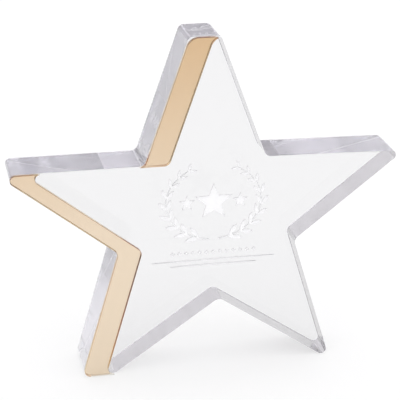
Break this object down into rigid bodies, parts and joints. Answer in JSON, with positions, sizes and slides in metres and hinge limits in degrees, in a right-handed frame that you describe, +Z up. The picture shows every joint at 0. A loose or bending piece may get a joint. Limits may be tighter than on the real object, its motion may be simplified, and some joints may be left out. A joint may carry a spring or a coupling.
{
  "type": "star trophy",
  "caption": "Thick clear polished star that stands on a cut-off foot and the toe of its other leg, with gold mirror strips bonded along its left edges.",
  "frame": {"origin": "middle of the bounding box, on the surface the star stands on", "axes": "+Z up, +X to the right as seen from the front, the front face and its strips towards -Y"},
  "size_m": [0.149, 0.0206, 0.134],
  "materials": {
    "clear_acrylic": "clear cast acrylic, all faces polished",
    "adhesive": "clear adhesive film, seen only as a thin line",
    "mirror_coat": "silvered back coat",
    "gold_sheet": "gold tinted acrylic mirror sheet, polished front"
  },
  "bodies": {
    "root": {"star_block": "clear_acrylic", "upper_adhesive_film": "adhesive", "upper_mirror_coat": "mirror_coat", "upper_gold_sheet": "gold_sheet", "lower_adhesive_film": "adhesive", "lower_mirror_coat": "mirror_coat", "lower_gold_sheet": "gold_sheet"}
  },
  "joints": []
}
